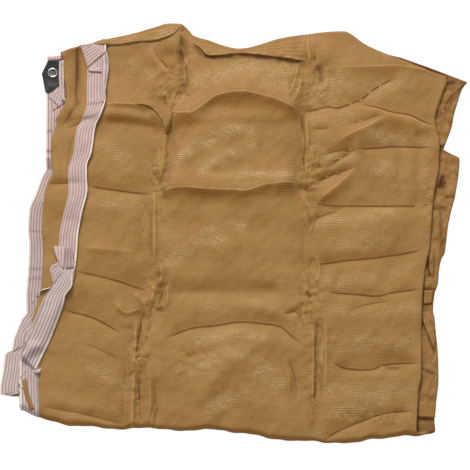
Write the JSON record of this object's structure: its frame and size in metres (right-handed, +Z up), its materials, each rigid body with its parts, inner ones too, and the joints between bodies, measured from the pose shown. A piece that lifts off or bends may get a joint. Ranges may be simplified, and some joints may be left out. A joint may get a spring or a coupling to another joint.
{
  "type": "folded shade sail",
  "caption": "Tan knitted shade sail folded flat into a square packet, with striped edge tape, a turned-over taped margin and a black eyelet corner",
  "frame": {"origin": "middle of the packet's box in plan, on its underside", "axes": "+X to the right-hand fold, +Y to the free far ends, +Z up"},
  "size_m": [1.0152, 0.9736, 0.0391],
  "materials": {
    "net_cloth": "satin knit",
    "striped_tape": "woven, matt",
    "coated_cloth": "coated, slightly glossy",
    "eyelet_metal": "bright"
  },
  "bodies": {
    "root": {"net": "net_cloth", "tape_outer": "striped_tape", "tape_inner": "striped_tape", "corner_patch": "coated_cloth", "eyelet": "eyelet_metal"}
  },
  "joints": []
}
